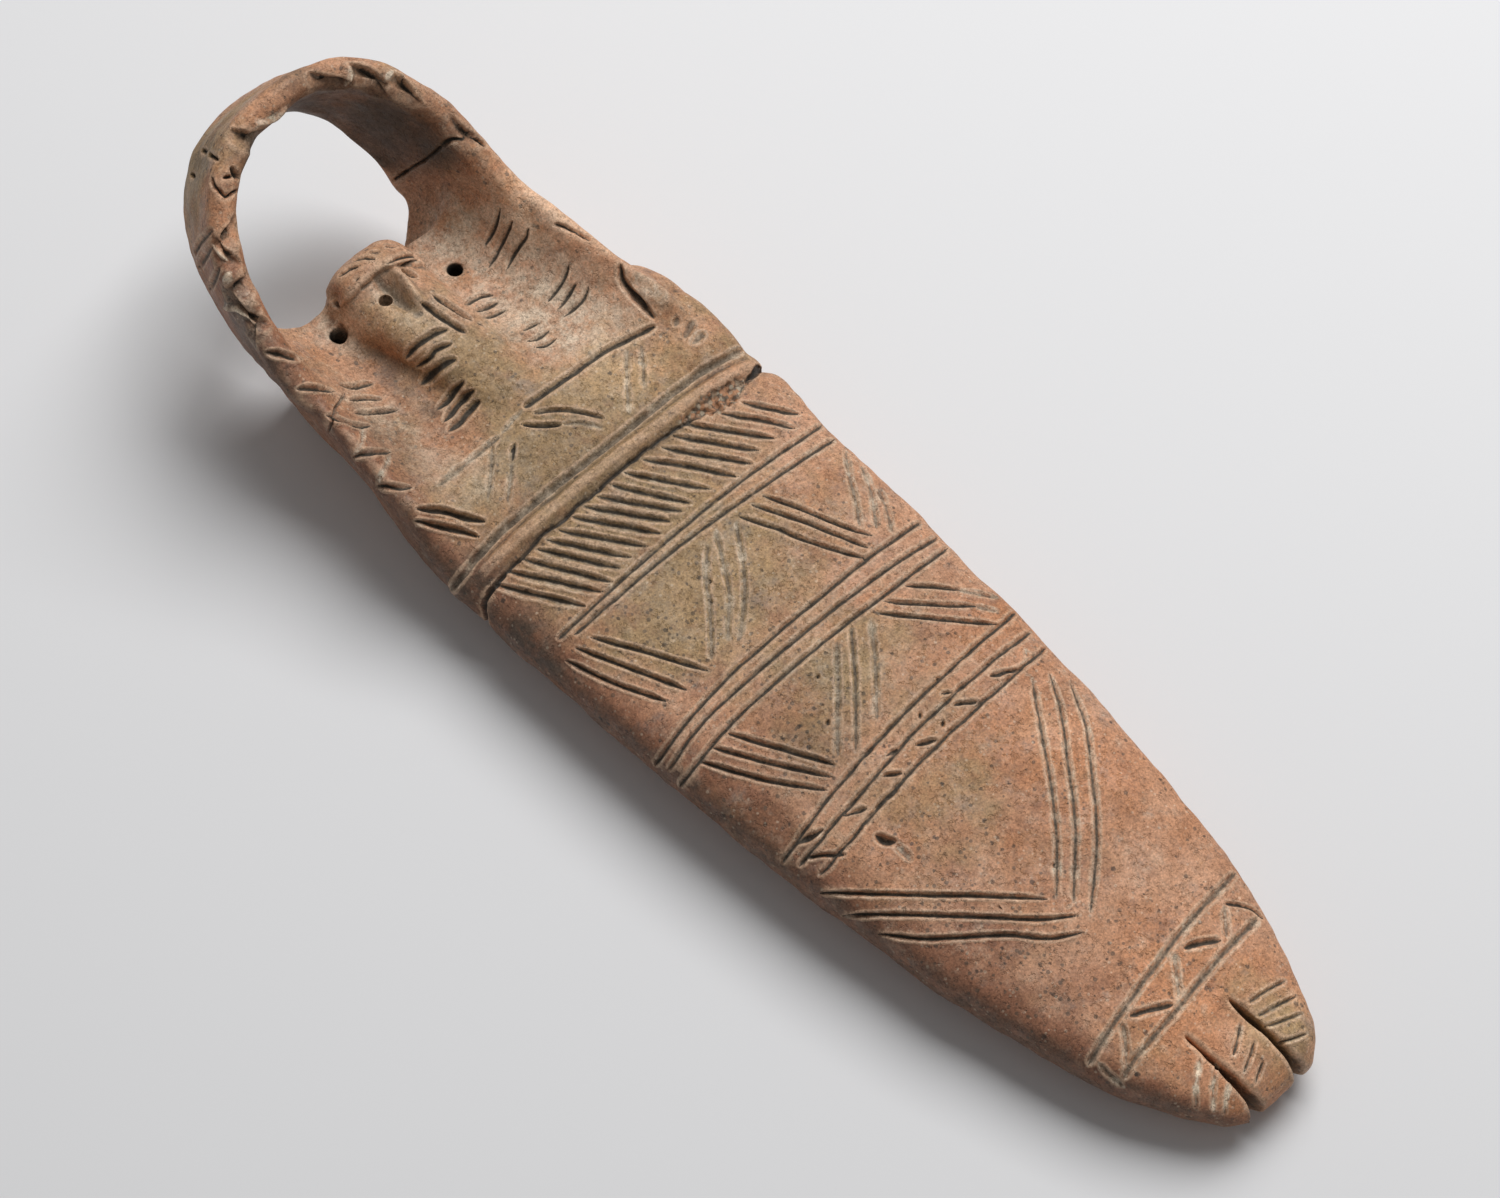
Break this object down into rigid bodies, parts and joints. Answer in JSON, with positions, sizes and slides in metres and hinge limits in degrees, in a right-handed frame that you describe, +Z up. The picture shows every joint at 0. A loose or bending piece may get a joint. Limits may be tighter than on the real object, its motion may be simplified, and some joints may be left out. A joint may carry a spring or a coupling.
{
  "type": "cradle figurine",
  "caption": "Fired clay figurine of a swaddled infant on a long cradle board, lying on its back under an open arched hood, with incised bands, hatching and triangles and slit toes.",
  "frame": {"origin": "middle of the bounding box in plan, at the height of the flat underside it lies on", "axes": "+X along the board from the hood to the toes, +Y towards the side with the lobe beside the shoulder, +Z up out of the face"},
  "size_m": [0.2532, 0.0724, 0.0531],
  "materials": {
    "fired_clay": "burnished, worn satin-matt"
  },
  "bodies": {
    "root": {"cradle_figurine": "fired_clay"}
  },
  "joints": []
}
